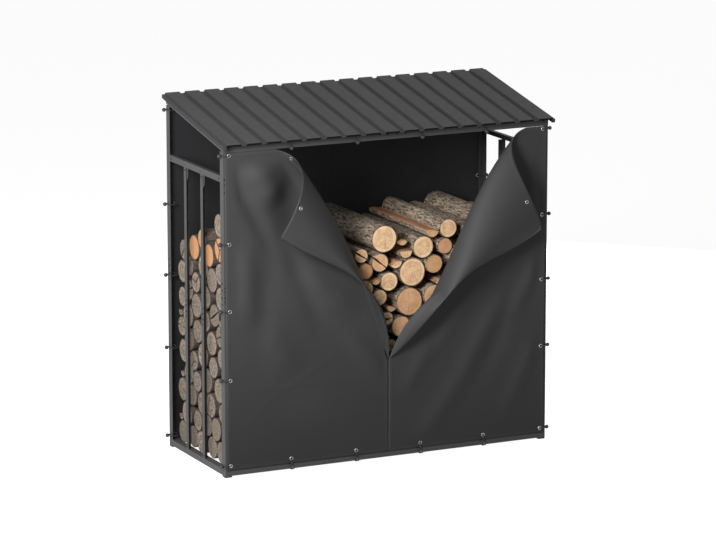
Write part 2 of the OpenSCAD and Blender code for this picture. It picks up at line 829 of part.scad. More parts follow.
// Logs of the end stack rest on the left ledge and the floor bar.
end_sizes = [122, 112, 128, 108, 118, 126, 104];
end_pieces = [1, 1, 2, 1, 3, 1, 1, 2, 1];
end_row = [for (i = [0 : end_row_n - 1])
    [end_stack_y + (i + 0.5) * (end_row_d + log_gap), rail_top_z + end_row_d / 2, end_row_d / 2, 1]];
end_x1 = end_stack_y + end_row_n * (end_row_d + log_gap);
end_middle = end_stack_y + end_part_w[0];
end_steps = [[end_middle, end_top_z[0]], [end_middle + end_part_w[1], end_top_z[1]],
    [end_x1, end_top_z[2]]];
function end_stack() = fill_in(
    pile_up(end_row, end_sizes, end_pieces, 0, rail_top_z, end_stack_y, end_x1, end_steps),
    small_log_r[1], end_stack_y, end_x1, end_steps);

// The cross-section of a log that is whole, split into pieces, or halved.
module log_outline(r, pieces, turn) {
    difference() {
        circle(r = r, $fn = 32);
        if (pieces == half_log)
            translate([-r, half_log_flat * r]) square(2 * r);
        if (pieces > 1)
            for (i = [0 : pieces - 1])
                rotate(turn + i * 360 / pieces)
                    translate([0, -split_gap / 2]) square([2 * r, split_gap]);
    }
}

// The ends are staggered by a log's number in the stack, so that they don't end in one plane.
stagger_turn = 137;
function stagger(i) = log_stagger * (0.5 + 0.5 * sin(stagger_turn * i));
log_l = store_d - 2 * log_end_gap - log_stagger;

// A share of the main stack, from bottom to top, by the height of each log.
module stack_logs(from_z, to_z) {
    stack = main_stack();
    color(bark_color)
    for (i = [0 : len(stack) - 1])
        if (stack[i][1] >= from_z && stack[i][1] < to_z)
            translate([stack[i][0], y_front + log_end_gap + log_l + stagger(i), stack[i][1]])
                rotate([90, 0, 0])
                    linear_extrude(height = log_l)
                        log_outline(stack[i][2], stack[i][3], stagger_turn * i);
}

module end_stack_logs(from_z, to_z) {
    stack = end_stack();
    color(weathered_color)
    for (i = [0 : len(stack) - 1])
        if (stack[i][1] >= from_z && stack[i][1] < to_z)
            translate([-x_side + steel_t + bar_d + stagger(i), y_front + stack[i][0], stack[i][1]])
                rotate([90, 0, 90])
                    linear_extrude(height = end_log_l - log_stagger)
                        log_outline(stack[i][2], stack[i][3], stagger_turn * i);
}

row_z = rail_top_z + bottom_log_d;
stack_step = (stack_top_z - row_z) / 4;
end_step = (max(end_top_z) - rail_top_z) / 3;
module logs_bottom() {
    stack_logs(0, row_z);
}
module logs_lower() {
    stack_logs(row_z, row_z + stack_step);
}
module logs_middle() {
    stack_logs(row_z + stack_step, row_z + 2 * stack_step);
}
module logs_upper() {
    stack_logs(row_z + 2 * stack_step, row_z + 3 * stack_step);
}
module logs_top() {
    stack_logs(row_z + 3 * stack_step, store_w);
}
module end_logs_lower() {
    end_stack_logs(0, rail_top_z + end_step);
}
module end_logs_middle() {
    end_stack_logs(rail_top_z + end_step, rail_top_z + 2 * end_step);
}
module end_logs_upper() {
    end_stack_logs(rail_top_z + 2 * end_step, store_w);
}

feet();
base_rail_front();
base_rail_back();
base_rail_left();
base_rail_right();
floor_bar();
post_front_left();
post_front_right();
post_back_left();
post_back_right();
post_splices();
side_rail_left();
side_rail_right();
left_bar_front();
left_bar_rear();
right_bar_front();
right_bar_rear();
front_beam();
back_beam();
rafter_left();
rafter_right();
roof_sheet_left();
roof_sheet_middle();
roof_sheet_right();
roof_trim_left();
roof_trim_right();
front_cover_left();
front_cover_right();
front_leaf_left();
front_leaf_right();
back_cover();
lacing_front_left();
lacing_front_right();
lacing_front_bottom();
lacing_front_top();
lacing_back_left();
lacing_back_right();
lacing_back_bottom();
lacing_back_top();
end_logs_lower();
end_logs_middle();
end_logs_upper();
logs_bottom();
logs_lower();
logs_middle();
logs_upper();
logs_top();
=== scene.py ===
import math

import bpy
import numpy as np
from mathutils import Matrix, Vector


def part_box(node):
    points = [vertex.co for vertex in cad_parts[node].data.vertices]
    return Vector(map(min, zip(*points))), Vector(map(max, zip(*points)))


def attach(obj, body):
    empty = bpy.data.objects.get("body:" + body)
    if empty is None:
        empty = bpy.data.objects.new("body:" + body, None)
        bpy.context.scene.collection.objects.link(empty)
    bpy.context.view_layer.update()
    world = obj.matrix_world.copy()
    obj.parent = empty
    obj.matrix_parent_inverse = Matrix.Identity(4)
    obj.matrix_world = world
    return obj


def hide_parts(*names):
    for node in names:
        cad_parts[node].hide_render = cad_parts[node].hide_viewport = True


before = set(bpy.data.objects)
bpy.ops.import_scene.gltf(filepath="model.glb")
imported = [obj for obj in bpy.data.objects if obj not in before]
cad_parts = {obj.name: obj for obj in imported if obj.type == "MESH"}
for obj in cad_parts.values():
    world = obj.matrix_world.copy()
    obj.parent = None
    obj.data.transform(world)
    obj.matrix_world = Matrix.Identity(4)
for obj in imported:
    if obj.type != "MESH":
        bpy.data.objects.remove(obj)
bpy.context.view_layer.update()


# Feet: four small square pads of black rubber under the corners of the store.
# They lift the steel off wet ground, and each is pressed up under a corner of the base.
def new_material(name):
    made = bpy.data.materials.new(name)
    made.use_nodes = True
    return made, made.node_tree, made.node_tree.nodes["Principled BSDF"]


def put(tree, kind, props=None, **sockets):
    node = tree.nodes.new("ShaderNode" + kind)
    for name, value in (props or {}).items():
        setattr(node, name, value)
    for name, value in sockets.items():
        socket = node.inputs[name.replace("_", " ")]
        if isinstance(value, bpy.types.NodeSocket):
            tree.links.new(value, socket)
        else:
            socket.default_value = value
    return node


def start_group(name, inputs, outputs):
    tree = bpy.data.node_groups.new(name, "ShaderNodeTree")
    for title, kind in inputs.items():
        tree.interface.new_socket(title, in_out="INPUT", socket_type="NodeSocket" + kind)
    for title, kind in outputs.items():
        tree.interface.new_socket(title, in_out="OUTPUT", socket_type="NodeSocket" + kind)
    return tree, tree.nodes.new("NodeGroupInput").outputs, tree.nodes.new("NodeGroupOutput").inputs


def use_group(tree, group, **sockets):
    return put(tree, "Group", {"node_tree": group}, **sockets).outputs


def remap(tree, value, low, high):
    return put(tree, "MapRange", Value=value, To_Min=low, To_Max=high).outputs["Result"]


def paint(material, *names):
    for name in names:
        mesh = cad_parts[name].data
        mesh.materials.clear()
        mesh.materials.append(material)


rubber, tree, shader = new_material("Foot rubber")
grain = put(tree, "TexNoise", Vector=put(tree, "TexCoord").outputs["Object"], Scale=400.0, Detail=3.0)
dust = put(tree, "TexNoise", Vector=put(tree, "TexCoord").outputs["Object"], Scale=60.0, Detail=5.0)
shader.inputs["Base Color"].default_value = (0.014, 0.014, 0.015, 1)
tree.links.new(remap(tree, dust.outputs["Fac"], 0.6, 0.95), shader.inputs["Roughness"])
bumped = put(tree, "Bump", Height=grain.outputs["Fac"], Strength=0.3, Distance=0.0004)
tree.links.new(bumped.outputs["Normal"], shader.inputs["Normal"])
paint(rubber, "feet")


# Base rails: a rectangle of folded steel with a ledge turned inwards that carries the logs.
# The steel is powder coated in a dark anthracite with a fine dimpled grain.
powder, given, result = start_group(
    "Powder coat", {"Tone": "Color"}, {"Color": "Color", "Roughness": "Float", "Height": "Float"})
place = put(powder, "TexCoord").outputs["Object"]
dimples = put(powder, "TexNoise", Vector=place, Scale=620.0, Detail=2.0)
patches = put(powder, "TexNoise", Vector=place, Scale=5.0, Detail=6.0, Roughness=0.6)
handling = put(powder, "TexNoise", Vector=place, Scale=38.0, Detail=8.0, Roughness=0.7)
shade = remap(powder, patches.outputs["Fac"], 0.82, 1.18)
toned = put(powder, "HueSaturation", Value=shade, Color=given["Tone"])
powder.links.new(toned.outputs["Color"], result["Color"])
powder.links.new(remap(powder, handling.outputs["Fac"], 0.4, 0.68), result["Roughness"])
powder.links.new(dimples.outputs["Fac"], result["Height"])


def powder_coated(name, tone):
    made, tree, shader = new_material(name)
    coat = use_group(tree, powder, Tone=tone)
    tree.links.new(coat["Color"], shader.inputs["Base Color"])
    tree.links.new(coat["Roughness"], shader.inputs["Roughness"])
    shader.inputs["Specular IOR Level"].default_value = 0.22
    bumped = put(tree, "Bump", Height=coat["Height"], Strength=0.35, Distance=0.00025)
    tree.links.new(bumped.outputs["Normal"], shader.inputs["Normal"])
    return made


frame_steel = powder_coated("Frame steel", (0.043, 0.043, 0.044, 1))
paint(frame_steel, "base_rail_front", "base_rail_back", "base_rail_left", "base_rail_right",
      "floor_bar")

# Posts: steel angles in two lengths that meet over an angle inside the corner.
# Low round screws hold the joint, the base corner and the end of the roof frame.
paint(frame_steel, "post_front_left", "post_front_right", "post_back_left", "post_back_right",
      "post_splices")
y_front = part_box("post_front_left")[0][1]
y_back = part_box("post_back_left")[1][1]
x_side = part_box("post_front_right")[1][0]

screw_steel, tree, shader = new_material("Screw steel")
scuffs = put(tree, "TexNoise", Vector=put(tree, "TexCoord").outputs["Object"], Scale=240.0, Detail=6.0)
shader.inputs["Base Color"].default_value = (0.012, 0.012, 0.013, 1)
shader.inputs["Metallic"].default_value = 0.7
tree.links.new(remap(tree, scuffs.outputs["Fac"], 0.3, 0.55), shader.inputs["Roughness"])


def add_piece(name, points, faces, materials, smooth=True):
    mesh = bpy.data.meshes.new(name)
    mesh.from_pydata(points, [], faces)
    for material in materials:
        mesh.materials.append(material)
    mesh.polygons.foreach_set("use_smooth", [smooth] * len(mesh.polygons))
    made = bpy.data.objects.new(name, mesh)
    bpy.context.scene.collection.objects.link(made)
    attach(made, "root")
    return made


def turned(profile, centre, axis, around=16):
    """Points and faces of a small turned part; the profile is (radius, height) from its seat."""
    turn = Vector((0, 0, 1)).rotation_difference(Vector(axis))
    points = []
    for radius, height in profile:
        for step in range(around):
            angle = 2 * math.pi * step / around
            spot = Vector((radius * math.cos(angle), radius * math.sin(angle), height))
            points.append(tuple(turn @ spot + Vector(centre)))
    faces = []
    for row in range(len(profile) - 1):
        for step in range(around):
            a = row * around + step
            b = row * around + (step + 1) % around
            faces.append((a, b, b + around, a + around))
    faces.append(tuple(range((len(profile) - 1) * around, len(profile) * around)))
    return points, faces


def join_shapes(shapes):
    points = []
    faces = []
    for some_points, some_faces in shapes:
        start = len(points)
        points.extend(some_points)
        faces.extend(tuple(i + start for i in face) for face in some_faces)
    return points, faces


screw_head = [(0.0056, 0.0), (0.0056, 0.0008), (0.0046, 0.001), (0.0043, 0.0022), (0.0028, 0.0032)]
small_head = [(r * 0.72, h) for r, h in screw_head]


def add_screws(name, spots, axis, head=screw_head):
    shapes = [turned(head, spot, axis) for spot in spots]
    points, faces = join_shapes(shapes)
    return add_piece(name, points, faces, [screw_steel])


joint_heights = (0.955, 0.935, 0.905, 0.885)
corner_heights = (1.490, 1.463, 1.426)
for side, word in ((-1, "left"), (1, "right")):
    edge_x = side * (x_side - 0.0042)
    flange_z = joint_heights + corner_heights
    add_screws(f"front_{word}_post_screws",
               [(edge_x, y_front, z) for z in flange_z], (0, -1, 0), small_head)
    add_screws(f"back_{word}_post_screws",
               [(edge_x, y_back, z) for z in flange_z], (0, 1, 0), small_head)
    add_screws(f"{word}_side_post_screws",
               [(side * x_side, y, z) for z in (0.972, 0.938, 0.902, 0.868, 0.052)
                for y in (y_front + 0.024, y_back - 0.024)], (side, 0, 0))

# Side rails and bars: an angle runs across each side under the roof, and two upright
# angles stand between it and the base rail. Each upright is spliced with four screws.
paint(frame_steel, "side_rail_left", "side_rail_right", "left_bar_front", "left_bar_rear",
      "right_bar_front", "right_bar_rear")
for side, word in ((-1, "left"), (1, "right")):
    spots = []
    for place_name in ("front", "rear"):
        low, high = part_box(f"{word}_bar_{place_name}")
        face_x = low[0] if side < 0 else high[0]
        bar_y = (low[1] + high[1]) / 2
        for z in (0.72, 0.745, 0.775, 0.80, 0.052, high[2] - 0.014):
            spots.append((face_x, bar_y, z))
    add_screws(f"{word}_bar_screws", spots, (side, 0, 0))
    low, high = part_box(f"side_rail_{word}")
    rail_x = low[0] if side < 0 else high[0]
    rail_z = (low[2] + high[2]) / 2
    add_screws(f"{word}_rail_screws",
               [(rail_x, y, rail_z) for y in (low[1] + 0.016, high[1] - 0.016)], (side, 0, 0))

plates = []
plate_x = x_side - 0.0045
for side in (-1, 1):
    for place_name in ("front", "rear"):
        low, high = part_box(f"{'left' if side < 0 else 'right'}_bar_{place_name}")
        mid = (low[1] + high[1]) / 2
        shape = ((mid - 0.026, 1.474), (mid + 0.011, 1.474), (mid + 0.011, 1.405),
                 (mid - 0.012, 1.405), (mid - 0.026, 1.425))
        near = [(side * plate_x, y, z) for y, z in shape]
        far = [(side * (plate_x - 0.002), y, z) for y, z in shape]
        count = len(shape)
        walls = [(i, (i + 1) % count, count + (i + 1) % count, count + i) for i in range(count)]
        faces = [tuple(range(count))[::-1], tuple(range(count, 2 * count))] + walls
        plates.append((near + far, faces))
points, faces = join_shapes(plates)
add_piece("bar_joint_plates", points, faces, [frame_steel], smooth=False)

# Top beams and rafters: folded steel that ties the posts together under the roof.
# The front beam is joined at its middle, where four screws show in a row.
paint(frame_steel, "front_beam", "back_beam", "rafter_left", "rafter_right")
front_beam_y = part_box("front_beam")[0][1]
front_beam_z = 1.645
back_beam_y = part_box("back_beam")[1][1]
back_beam_z = 1.78
add_screws("front_beam_screws",
           [(x, front_beam_y, front_beam_z) for x in (-0.863, -0.049, -0.008, 0.045, 0.090, 0.863)],
           (0, -1, 0))
add_screws("back_beam_screws",
           [(x, back_beam_y, back_beam_z) for x in (-0.863, -0.068, -0.024, 0.024, 0.068, 0.863)],
           (0, 1, 0))

# Roof: three ribbed steel sheets that slope forwards, with a folded trim at each end.
# They lie on the beams and are coated a shade lighter than the frame.
roof_steel = powder_coated("Roof steel", (0.038, 0.038, 0.039, 1))
paint(roof_steel, "roof_sheet_left", "roof_sheet_middle", "roof_sheet_right",
      "roof_trim_left", "roof_trim_right")


def calculate(tree, how, first, second):
    node = tree.nodes.new("ShaderNodeMath")
    node.operation = how
    for socket, value in zip(node.inputs, (first, second)):
        if isinstance(value, bpy.types.NodeSocket):
            tree.links.new(value, socket)
        else:
            socket.default_value = value
    return node.outputs["Value"]


def ease(tree, value, start, end, first=0.0, last=1.0, curve="SMOOTHSTEP"):
    """A value that goes from first to last as the given value goes from start to end."""
    return put(tree, "MapRange", {"interpolation_type": curve}, Value=value, From_Min=start,
               From_Max=end, To_Min=first, To_Max=last).outputs["Result"]


# Painted shade: the steep walls of the ribs are darkened in colour, standing in for the shade in the rib
# creases.
tree = roof_steel.node_tree
shader = tree.nodes["Principled BSDF"]
shader.inputs["Specular IOR Level"].default_value = 0.12
coat = shader.inputs["Base Color"].links[0].from_socket
facing = put(tree, "SeparateXYZ", Vector=put(tree, "NewGeometry").outputs["True Normal"])
steep = calculate(tree, "ABSOLUTE", facing.outputs["X"], 0.0)
rib_wall_shade = ease(tree, steep, 0.25, 0.6, 1.0, 0.6, "LINEAR")
rib_shaded = put(tree, "HueSaturation", Value=rib_wall_shade, Color=coat)
tree.links.new(rib_shaded.outputs["Color"], shader.inputs["Base Color"])

# Closure foam plugs the ends of the rib channels. Its near-black colour is also painted shade, standing
# in for the shade inside the rib ends.
foam_and_painted_shade, tree, shader = new_material("Closure foam")
cells = put(tree, "TexVoronoi", Vector=put(tree, "TexCoord").outputs["Object"], Scale=700.0)
shader.inputs["Base Color"].default_value = (0.003, 0.003, 0.003, 1)
shader.inputs["Specular IOR Level"].default_value = 0.1
shader.inputs["Roughness"].default_value = 0.95
bumped = put(tree, "Bump", Height=cells.outputs["Distance"], Strength=0.5, Distance=0.0005)
tree.links.new(bumped.outputs["Normal"], shader.inputs["Normal"])

pitch = math.radians(10.7)
roof_w = 1.81
rib_count = 17
rib_pitch = roof_w / rib_count
closure_h = 0.0086
roof_low, roof_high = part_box("roof_sheet_left")


def on_roof(x, down, up):
    """A place on the roof slope: how far up the slope from its front edge, and above the valleys."""
    return (x, roof_low[1] + down * math.cos(pitch) - up * math.sin(pitch),
            roof_low[2] + down * math.sin(pitch) + up * math.cos(pitch))


def solid_between(shape, start, end):
    """A closed bar along the slope; the shape is (x, up) round its end."""
    count = len(shape)
    points = [on_roof(x, along, up) for along in (start, end) for x, up in shape]
    faces = [(i, (i + 1) % count, count + (i + 1) % count, count + i) for i in range(count)]
    return points, faces + [tuple(range(count))[::-1], tuple(range(count, 2 * count))]


slope_l = (roof_high[1] - roof_low[1]) / math.cos(pitch)
closures = []
for rib in range(rib_count):
    left = rib * rib_pitch - roof_w / 2
    right = left + rib_pitch
    shape = ((left + 0.0128, 0.0002), (right - 0.0128, 0.0002),
             (right - 0.0168, closure_h), (left + 0.0168, closure_h))
    closures.append(solid_between(shape, 0.003, 0.028))
    closures.append(solid_between(shape, slope_l - 0.032, slope_l - 0.006))
points, faces = join_shapes(closures)
add_piece("roof_rib_closures", points, faces, [foam_and_painted_shade], smooth=False)
ends = []
for side in (-1, 1):
    shape = ((side * 0.9049, -0.0155), (side * 0.8905, -0.0155), (side * 0.8905, -0.0005),
             (side * 0.9049, -0.0005))
    shape = shape if side < 0 else shape[::-1]
    ends.append(solid_between(shape, 0.001, 0.040))
    ends.append(solid_between(shape, slope_l - 0.044, slope_l - 0.004))
points, faces = join_shapes(ends)
add_piece("roof_trim_end_caps", points, faces, [roof_steel], smooth=False)

# Front cover: two halves of coated fabric laced to the posts, meeting at a slit. Above the
# foot of the slit each half is peeled back, so that its free corner hangs out in a curl.
tarp, given, result = start_group(
    "Coated fabric", {"Tone": "Color", "Width": "Float", "Height": "Float", "Seam": "Float"},
    {"Color": "Color", "Roughness": "Float", "Height": "Float"})
flat = put(tarp, "UVMap").outputs["UV"]
across = put(tarp, "SeparateXYZ", Vector=flat)


def apart(tree, first, second):
    return calculate(tree, "ABSOLUTE", calculate(tree, "SUBTRACT", first, second), 0.0)


warp = put(tarp, "TexWave", {"bands_direction": "X"}, Vector=flat, Scale=110.0, Distortion=0.4)
weft = put(tarp, "TexWave", {"bands_direction": "Y"}, Vector=flat, Scale=110.0, Distortion=0.4)
weave = calculate(tarp, "MAXIMUM", warp.outputs["Fac"], weft.outputs["Fac"])
from_side = calculate(tarp, "MINIMUM", across.outputs["X"], calculate(
    tarp, "SUBTRACT", given["Width"], across.outputs["X"]))
from_end = calculate(tarp, "MINIMUM", across.outputs["Y"], calculate(
    tarp, "SUBTRACT", given["Height"], across.outputs["Y"]))
from_edge = calculate(tarp, "MINIMUM", from_side, from_end)
hem = ease(tarp, from_edge, 0.0225, 0.0245, 1.0, 0.0)
seam_line = ease(tarp, apart(tarp, from_edge, 0.0195), 0.0005, 0.0018, 1.0, 0.0)
from_seam = apart(tarp, across.outputs["X"], given["Seam"])
lap = ease(tarp, from_seam, 0.0145, 0.0160, 1.0, 0.0)
lap_line = ease(tarp, apart(tarp, from_seam, 0.0155), 0.0008, 0.0024, 1.0, 0.0)
hem = calculate(tarp, "MAXIMUM", hem, lap)
seam_line = calculate(tarp, "MAXIMUM", seam_line, lap_line)
creases = put(tarp, "TexNoise", Vector=flat, Scale=6.0, Detail=9.0, Roughness=0.55)
rubbed = put(tarp, "TexNoise", Vector=flat, Scale=2.4, Detail=5.0)
shade = remap(tarp, rubbed.outputs["Fac"], 0.8, 1.2)
# The colour darkens towards the foot of the cloth, to about half at its lower edge.
darker_to_foot = ease(tarp, across.outputs["Y"], 0.0, 0.85, 0.52, 1.0, "LINEAR")
shade = calculate(tarp, "MULTIPLY", shade, darker_to_foot)
shade = calculate(tarp, "ADD", shade, calculate(tarp, "MULTIPLY", hem, 0.12))
shade = calculate(tarp, "SUBTRACT", shade, calculate(tarp, "MULTIPLY", seam_line, 0.35))
toned = put(tarp, "HueSaturation", Value=shade, Color=given["Tone"])
tarp.links.new(toned.outputs["Color"], result["Color"])
tarp.links.new(remap(tarp, rubbed.outputs["Fac"], 0.52, 0.70), result["Roughness"])
relief = calculate(tarp, "MULTIPLY", weave, 0.12)
relief = calculate(tarp, "ADD", relief, calculate(tarp, "MULTIPLY", hem, 1.0))
relief = calculate(tarp, "SUBTRACT", relief, calculate(tarp, "MULTIPLY", seam_line, 0.5))
relief = calculate(tarp, "ADD", relief, calculate(tarp, "MULTIPLY", creases.outputs["Fac"], 3.5))
tarp.links.new(relief, result["Height"])


def cover_fabric(name, tone, width, height, seam=-1.0):
    made, tree, shader = new_material(name)
    cloth = use_group(tree, tarp, Tone=tone, Width=width, Height=height, Seam=seam)
    tree.links.new(cloth["Color"], shader.inputs["Base Color"])
    tree.links.new(cloth["Roughness"], shader.inputs["Roughness"])
    shader.inputs["Specular IOR Level"].default_value = 0.2
    bumped = put(tree, "Bump", Height=cloth["Height"], Strength=0.5, Distance=0.0009)
    tree.links.new(bumped.outputs["Normal"], shader.inputs["Normal"])
    return made


cover_top = 1.620
cover_foot = 0.034
slit_foot = 0.508
slit_h = cover_top - slit_foot
leaf_w = 0.8896
cover_in = 0.008
cover_plane = y_front - 0.0015
half_w = leaf_w - cover_in
cover_h = cover_top - cover_foot
front_fabric = cover_fabric("Front cover fabric", (0.033, 0.033, 0.034, 1), half_w, cover_h)

# Each peeled corner is a curved patch on rows of four points, from the top of the slit down:
# share of the half's width from the post, metres in front, share of the slit's height down.
peels = {
    -1: (((0.31, 0, 0), (0.53, 0, 0.05), (0.38, 0.270, 0.14), (0.29, 0.095, 0.38)),
         ((0.76, 0, 0.33), (0.77, 0, 0.42), (0.51, 0.170, 0.46), (0.56, 0.095, 0.55)),
         ((0.85, 0, 0.67), (0.87, 0, 0.65), (0.96, 0.245, 0.74), (0.99, 0.085, 0.56))),
    1: (((0.14, 0, 0), (0.38, 0, 0.05), (0.22, 0.250, 0.24), (0.08, 0.070, 0.46)),
        ((0.5, 0, 0.33), (0.74, 0, 0.31), (0.51, 0.270, 0.46), (0.38, 0.075, 0.62)),
        ((0.58, 0, 0.67), (0.66, 0, 0.68), (0.63, 0.265, 0.92), (0.87, 0.085, 0.61))),
}

# Soft folds: from (across, up) to (across, up) in metres from the post and the floor,
# then the half-width of the fold and how far it stands out.
folds = {
    -1: ((0.16, 1.56, 0.27, 1.36, 0.080, 0.034), (0.05, 1.53, 0.25, 1.13, 0.045, -0.014),
         (0.38, 1.54, 0.36, 1.16, 0.085, -0.020), (0.25, 1.13, 0.20, 0.60, 0.060, -0.010),
         (0.12, 1.15, 0.13, 0.80, 0.050, 0.012), (0.33, 1.15, 0.53, 0.70, 0.050, -0.012),
         (0.43, 0.98, 0.68, 0.78, 0.070, 0.017), (0.20, 0.72, 0.37, 0.52, 0.080, 0.016),
         (0.66, 0.66, 0.85, 0.46, 0.050, 0.012), (0.63, 0.58, 0.27, 0.39, 0.014, 0.0022),
         (0.27, 0.39, 0.13, 0.28, 0.014, 0.0018), (0.02, 0.43, 0.86, 0.43, 0.010, 0.0024),
         (0.02, 0.834, 0.60, 0.80, 0.010, 0.0020), (0.40, 0.30, 0.80, 0.20, 0.110, 0.010)),
    1: ((0.27, 0.75, 0.50, 0.36, 0.050, 0.015), (0.47, 0.40, 0.70, 0.09, 0.060, 0.018),
        (0.06, 0.52, 0.24, 0.16, 0.050, 0.015), (0.67, 0.56, 0.79, 0.34, 0.045, 0.013),
        (0.18, 0.72, 0.38, 0.36, 0.050, -0.010), (0.03, 0.98, 0.22, 0.62, 0.045, 0.014),
        (0.40, 0.85, 0.66, 0.50, 0.045, 0.011), (0.02, 0.43, 0.86, 0.43, 0.010, 0.0022),
        (0.02, 0.834, 0.40, 0.80, 0.010, 0.0020), (0.10, 1.45, 0.05, 1.15, 0.040, 0.008)),
}


def smooth_step(low, high, value):
    t = np.clip((value - low) / (high - low), 0, 1)
    return t * t * (3 - 2 * t)


def fold_depth(folds, across, up):
    """How far the folds lift the cloth at each place of its flat sheet."""
    total = np.zeros_like(across)
    for x0, z0, x1, z1, width, height in folds:
        run = np.array((x1 - x0, z1 - z0))
        along = ((across - x0) * run[0] + (up - z0) * run[1]) / (run @ run)
        away = np.abs((across - x0) * run[1] - (up - z0) * run[0]) / np.hypot(*run)
        fade = smooth_step(-0.25, 0.35, along) * (1 - smooth_step(0.65, 1.25, along))
        total += height * fade * np.exp(-(away / width) ** 2)
    return total


def cubic(points, t):
    return (points[0] * (1 - t) ** 3 + points[1] * 3 * t * (1 - t) ** 2
            + points[2] * 3 * t * t * (1 - t) + points[3] * t ** 3)


def peel_point(side, s, v):
    """A point of the peeled corner: s across it from the fold line, v down the slit."""
    rows = [[np.array((x * leaf_w, -y, cover_top - z * slit_h)) for x, y, z in row]
            for row in peels[side]]
    rows.append([np.array((leaf_w, 0.0, slit_foot))] * 4)
    line = [cubic([row[i] for row in rows], v) for i in range(4)]
    across, out, up = cubic(line, s)
    return np.array((side * (x_side - across), cover_plane + out, up))


def grid_faces(rows, columns, start=0):
    return [(start + r * columns + c, start + r * columns + c + 1,
             start + (r + 1) * columns + c + 1, start + (r + 1) * columns + c)
            for r in range(rows - 1) for c in range(columns - 1)]


def front_half(side):
    """Grid of the cover half: places, flat places, and faces."""
    flat_columns = 80
    peel_columns = 48
    peel_rows = 96
    foot_rows = 44
    places = []
    flats = []
    from_fold = []
    for r in range(peel_rows):
        v = r / peel_rows
        edge = peel_point(side, 0.0, v)
        edge_u = x_side - abs(edge[0])
        for c in range(flat_columns + 1):
            u = cover_in + (edge_u - cover_in) * c / flat_columns
            places.append((side * (x_side - u), cover_plane, edge[2]))
            flats.append((u, edge[2]))
            from_fold.append(edge_u - u)
        for c in range(1, peel_columns + 1):
            s = c / peel_columns
            places.append(peel_point(side, s, v))
            flats.append((edge_u + (leaf_w - edge_u) * s, edge[2]))
            from_fold.append((leaf_w - edge_u) * s)
    columns = flat_columns + 1 + peel_columns
    faces = grid_faces(peel_rows, columns)
    start = len(places)
    for r in range(foot_rows + 1):
        z = slit_foot + (cover_foot - slit_foot) * r / foot_rows
        for c in range(flat_columns + 1):
            u = cover_in + half_w * c / flat_columns
            places.append((side * (x_side - u), cover_plane, z))
            flats.append((u, z))
            from_fold.append(math.hypot(leaf_w - u, slit_foot - z))
    faces += grid_faces(foot_rows + 1, flat_columns + 1, start)
    last = start - columns
    faces += [(last + c, last + c + 1, start + c + 1, start + c) for c in range(flat_columns)]
    foot = start + flat_columns
    faces += [(last + c, last + c + 1, foot) for c in range(flat_columns, columns - 1)]
    return np.array(places), np.array(flats), faces, np.array(from_fold)


def surface_normals(places, faces):
    normals = np.zeros_like(places)
    for face in faces:
        a, b, c = (places[i] for i in face[:3])
        n = np.cross(b - a, c - a)
        for i in face:
            normals[i] += n
    return normals / np.maximum(np.linalg.norm(normals, axis=1), 1e-12)[:, None]


def hang_cloth(name, places, flats, faces, lift, origin, material):
    """Lifts the cloth along its normals, and gives it its flat places and its thickness."""
    places = places + surface_normals(places, faces) * lift[:, None]
    cloth = add_piece(name, [tuple(p) for p in places], faces, [material])
    layer = cloth.data.uv_layers.new(name="UVMap")
    corners = np.zeros(len(cloth.data.loops), dtype=int)
    cloth.data.loops.foreach_get("vertex_index", corners)
    layer.data.foreach_set("uv", (flats[corners] - np.array(origin)).ravel())
    thick = cloth.modifiers.new("Fabric thickness", "SOLIDIFY")
    thick.thickness = 0.0012
    thick.offset = 0
    return cloth, places


def front_lift(side, flats, from_fold):
    across = flats[:, 0]
    up = flats[:, 1]
    lift = fold_depth(folds[side], across, up)
    lift *= smooth_step(0.03, 0.10, across)
    lift *= smooth_step(0.045, 0.12, up)
    lift *= 1 - smooth_step(1.53, 1.60, up)
    near_slit = smooth_step(0.0, 0.06, leaf_w - across) + smooth_step(0.50, 0.62, up)
    return lift * np.clip(near_slit, 0, 1) * smooth_step(0.0, 0.07, from_fold)


eyelet_steel, tree, shader = new_material("Eyelet steel")
scuffs = put(tree, "TexNoise", Vector=put(tree, "TexCoord").outputs["Object"], Scale=300.0, Detail=5.0)
shader.inputs["Base Color"].default_value = (0.33, 0.33, 0.34, 1)
shader.inputs["Metallic"].default_value = 1.0
tree.links.new(remap(tree, scuffs.outputs["Fac"], 0.22, 0.42), shader.inputs["Roughness"])

eyelet_rim = [(0.0060, 0.0004), (0.0063, 0.0015), (0.0072, 0.0019), (0.0084, 0.0017),
              (0.0096, 0.0008), (0.0098, 0.0002)]


def eyelet(centre, axis):
    points, faces = turned(eyelet_rim, centre, axis, 24)
    return points, faces[:-1]


def both_sides(centre, axis):
    back = tuple(-value for value in axis)
    return [eyelet(centre, axis), eyelet(centre, back)]


edge_heights = (0.058, 0.489, 0.834, 1.168, 1.606)
lace_x = (-0.534, -0.178, 0.178, 0.534)
# The eyelets of each free corner: across the peel from its fold line, then down the slit.
peel_eyelets = {-1: ((0.10, 0.03), (0.74, 0.03)), 1: ((0.10, 0.03), (0.74, 0.03))}
for side, word in ((-1, "left"), (1, "right")):
    places, flats, faces, from_fold = front_half(side)
    if side < 0:
        faces = [face[::-1] for face in faces]
    lift = front_lift(side, flats, from_fold)
    origin = (cover_in, cover_foot)
    cloth, places = hang_cloth(
        f"front_cover_{word}_fabric", places, flats, faces, lift, origin, front_fabric)
    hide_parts(f"front_cover_{word}", f"front_leaf_{word}")
    shapes = []
    for z in edge_heights:
        shapes += both_sides((side * (x_side - 0.030), cover_plane, z), (0, -1, 0))
    for x in lace_x:
        if x * side > 0:
            shapes += both_sides((x, cover_plane, 0.060), (0, -1, 0))
    for s, v in peel_eyelets[side]:
        here = peel_point(side, s, v)
        over = peel_point(side, s + 0.02, v) - here
        down = peel_point(side, s, v + 0.02) - here
        out = np.cross(over, down)
        out = out / np.linalg.norm(out)
        shapes += both_sides(tuple(here), tuple(out))
    points, faces = join_shapes(shapes)
    add_piece(f"front_cover_{word}_eyelets", points, faces, [eyelet_steel])
